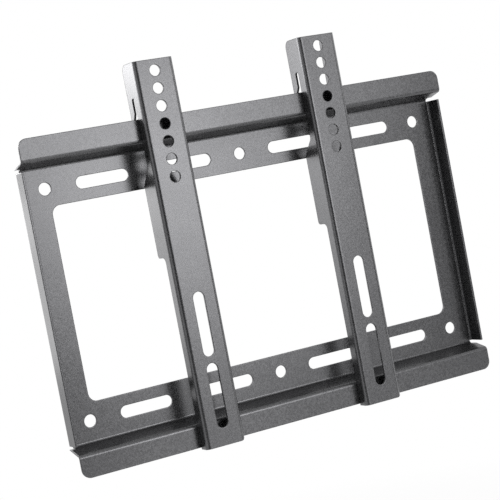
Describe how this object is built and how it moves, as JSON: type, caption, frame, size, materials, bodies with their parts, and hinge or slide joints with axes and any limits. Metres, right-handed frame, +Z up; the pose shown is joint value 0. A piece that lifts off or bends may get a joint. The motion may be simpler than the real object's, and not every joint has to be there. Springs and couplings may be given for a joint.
{
  "type": "tv wall mount",
  "caption": "Folded steel wall plate with a large window, slotted rows and two lips; two upright channel arms hook over its upper lip and slide along it.",
  "frame": {"origin": "middle of the plate's six round screw holes, on the wall plane at the plate's back", "axes": "+Z up, +X to the right as seen from the room, -Y from the wall towards the room and the screen"},
  "size_m": [0.274, 0.0227, 0.22],
  "materials": {
    "powder_coat": "fine textured semi-gloss dark grey powder coat"
  },
  "bodies": {
    "wall_plate": {"wall_plate": "powder_coat"},
    "arm_left": {"arm_left": "powder_coat"},
    "arm_right": {"arm_right": "powder_coat"}
  },
  "joints": [
    {"name": "arm_left_slide", "type": "slide", "parent": "wall_plate", "child": "arm_left", "axis": [1, 0, 0], "range_m": [-0.07, 0.04]},
    {"name": "arm_right_slide", "type": "slide", "parent": "wall_plate", "child": "arm_right", "axis": [1, 0, 0], "range_m": [-0.04, 0.07]}
  ]
}
